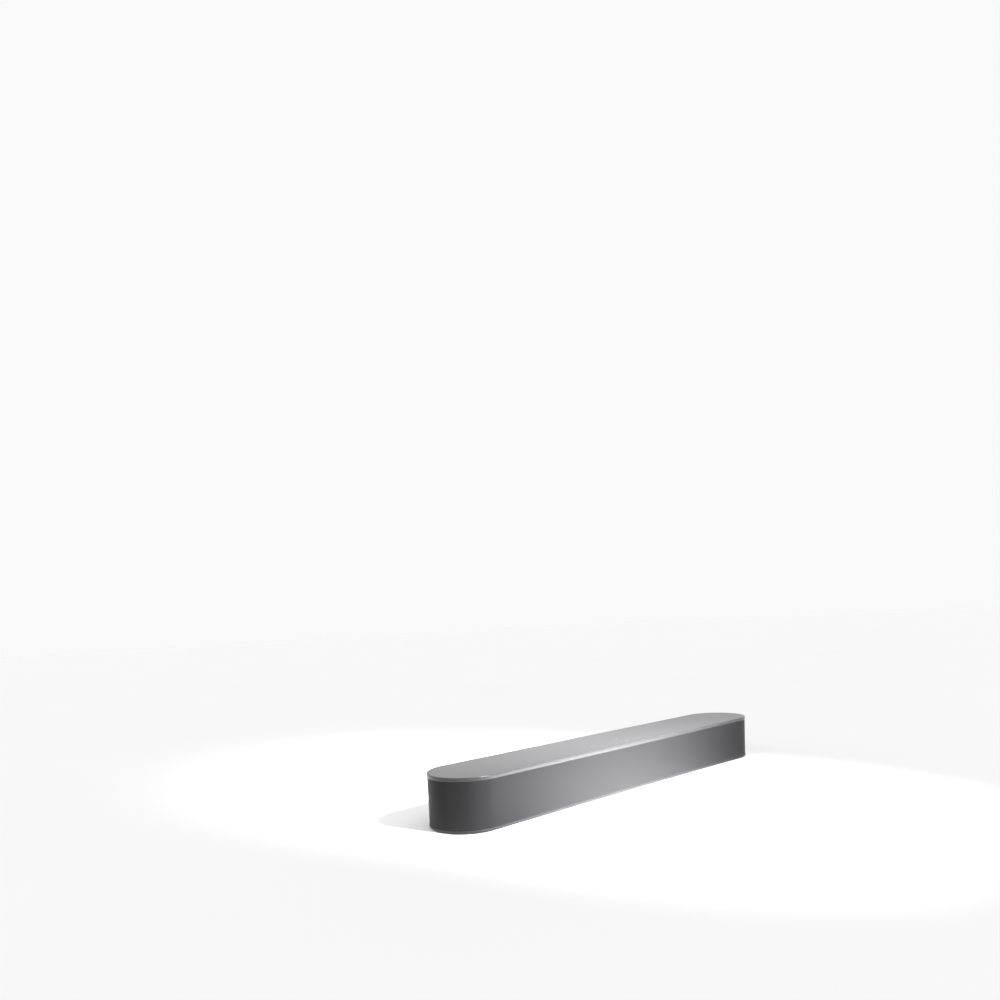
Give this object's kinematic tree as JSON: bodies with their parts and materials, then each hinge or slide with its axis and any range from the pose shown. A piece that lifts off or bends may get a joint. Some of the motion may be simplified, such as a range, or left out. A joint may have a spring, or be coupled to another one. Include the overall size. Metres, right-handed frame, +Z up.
{
  "type": "soundbar",
  "caption": "Compact soundbar with round ends: plain top cover, wrap-round grille, rear connector bay, and drivers, passive radiators and electronics inside.",
  "frame": {"origin": "centre of the footprint, on the plane the feet stand on", "axes": "+X along the bar towards its right end seen from the front, -Y is the front, +Z up"},
  "size_m": [0.6508, 0.1, 0.0685],
  "materials": {
    "top_plastic": "satin moulded top, lighter than the grille at a low angle",
    "base_plastic": "fine matt moulding",
    "grille_plastic": "finely perforated satin moulding",
    "dust_cloth": "open woven cloth",
    "enclosure_plastic": "glass-filled moulding",
    "gasket_foam": "closed-cell foam",
    "panel_plastic": "fine texture moulding",
    "foot_rubber": "matt rubber",
    "insert_brass": "machined",
    "screw_steel": "zinc plated",
    "circuit_board": "glass-fibre board with solder resist",
    "board_parts": "moulded component bodies",
    "heat_sink_aluminium": "extruded, matt",
    "ribbon_film": "polyimide film",
    "antenna_board": "thin board",
    "lead_sheath": "soft sheath",
    "socket_plastic": "moulded",
    "pin_nickel": "nickel plated",
    "socket_shell": "stamped shell",
    "contact_gold": "plated",
    "button_plastic": "satin",
    "light_pipe": "diffuse clear plastic",
    "basket_plastic": "glass-filled moulding",
    "magnet_steel": "zinc plated steel and ferrite",
    "cone_paper": "pressed paper",
    "surround_rubber": "matt rubber",
    "spider_cloth": "resin-treated cotton",
    "dome_silk": "coated silk",
    "passive_plate": "moulded plate"
  },
  "bodies": {
    "cabinet": {"top_cover": "top_plastic", "base_cover": "base_plastic", "grille": "grille_plastic", "dust_cloth": "dust_cloth", "front_baffle": "enclosure_plastic", "rear_housing": "enclosure_plastic", "baffle_gasket": "gasket_foam", "connector_panel": "panel_plastic", "feet": "foot_rubber", "threaded_inserts": "insert_brass", "cover_screws": "screw_steel", "short_screws": "screw_steel", "main_board": "circuit_board", "main_board_parts": "board_parts", "heat_sink": "heat_sink_aluminium", "power_board": "circuit_board", "power_board_parts": "board_parts", "touch_board": "circuit_board", "touch_ribbon": "ribbon_film", "antennas": "antenna_board", "speaker_leads": "lead_sheath", "power_inlet": "socket_plastic", "inlet_pins": "pin_nickel", "video_socket": "socket_shell", "video_tongue": "socket_plastic", "network_socket": "socket_shell", "network_contacts": "contact_gold", "light_pipe": "light_pipe", "woofer_left_basket": "basket_plastic", "woofer_left_magnet": "magnet_steel", "woofer_left_surround": "surround_rubber", "woofer_left_spider": "spider_cloth", "woofer_right_basket": "basket_plastic", "woofer_right_magnet": "magnet_steel", "woofer_right_surround": "surround_rubber", "woofer_right_spider": "spider_cloth", "end_left_basket": "basket_plastic", "end_left_magnet": "magnet_steel", "end_left_surround": "surround_rubber", "end_left_spider": "spider_cloth", "end_right_basket": "basket_plastic", "end_right_magnet": "magnet_steel", "end_right_surround": "surround_rubber", "end_right_spider": "spider_cloth", "tweeter_plate_ring": "basket_plastic", "tweeter_magnet": "magnet_steel", "tweeter_surround": "surround_rubber", "passive_left_frame": "basket_plastic", "passive_left_surround": "surround_rubber", "passive_right_frame": "basket_plastic", "passive_right_surround": "surround_rubber"},
    "woofer_left_cone_body": {"woofer_left_cone": "cone_paper"},
    "end_left_cone_body": {"end_left_cone": "cone_paper"},
    "passive_left_plate_body": {"passive_left_plate": "passive_plate"},
    "woofer_right_cone_body": {"woofer_right_cone": "cone_paper"},
    "end_right_cone_body": {"end_right_cone": "cone_paper"},
    "passive_right_plate_body": {"passive_right_plate": "passive_plate"},
    "tweeter_dome_body": {"tweeter_dome": "dome_silk"},
    "join_button_body": {"join_button": "button_plastic"}
  },
  "joints": [
    {"name": "woofer_left_travel", "type": "slide", "parent": "cabinet", "child": "woofer_left_cone_body", "axis": [0, -1, 0], "range_m": [-0.003, 0.003], "stiffness_N_per_m": 800, "deforming": ["woofer_left_surround", "woofer_left_spider"]},
    {"name": "end_left_travel", "type": "slide", "parent": "cabinet", "child": "end_left_cone_body", "axis": [-0.7071, -0.7071, 0], "range_m": [-0.003, 0.003], "stiffness_N_per_m": 800, "deforming": ["end_left_surround", "end_left_spider"]},
    {"name": "passive_left_travel", "type": "slide", "parent": "cabinet", "child": "passive_left_plate_body", "axis": [0, -1, 0], "range_m": [-0.004, 0.004], "stiffness_N_per_m": 900, "deforming": ["passive_left_surround"]},
    {"name": "woofer_right_travel", "type": "slide", "parent": "cabinet", "child": "woofer_right_cone_body", "axis": [0, -1, 0], "range_m": [-0.003, 0.003], "stiffness_N_per_m": 800, "deforming": ["woofer_right_surround", "woofer_right_spider"]},
    {"name": "end_right_travel", "type": "slide", "parent": "cabinet", "child": "end_right_cone_body", "axis": [0.7071, -0.7071, 0], "range_m": [-0.003, 0.003], "stiffness_N_per_m": 800, "deforming": ["end_right_surround", "end_right_spider"]},
    {"name": "passive_right_travel", "type": "slide", "parent": "cabinet", "child": "passive_right_plate_body", "axis": [0, -1, 0], "range_m": [-0.004, 0.004], "stiffness_N_per_m": 900, "deforming": ["passive_right_surround"]},
    {"name": "tweeter_travel", "type": "slide", "parent": "cabinet", "child": "tweeter_dome_body", "axis": [0, -1, 0], "range_m": [-0.0004, 0.0004], "stiffness_N_per_m": 600, "deforming": ["tweeter_surround"]},
    {"name": "join_button_press", "type": "slide", "parent": "cabinet", "child": "join_button_body", "axis": [0, -1, 0], "range_m": [0, 0.0006], "stiffness_N_per_m": 1500}
  ]
}
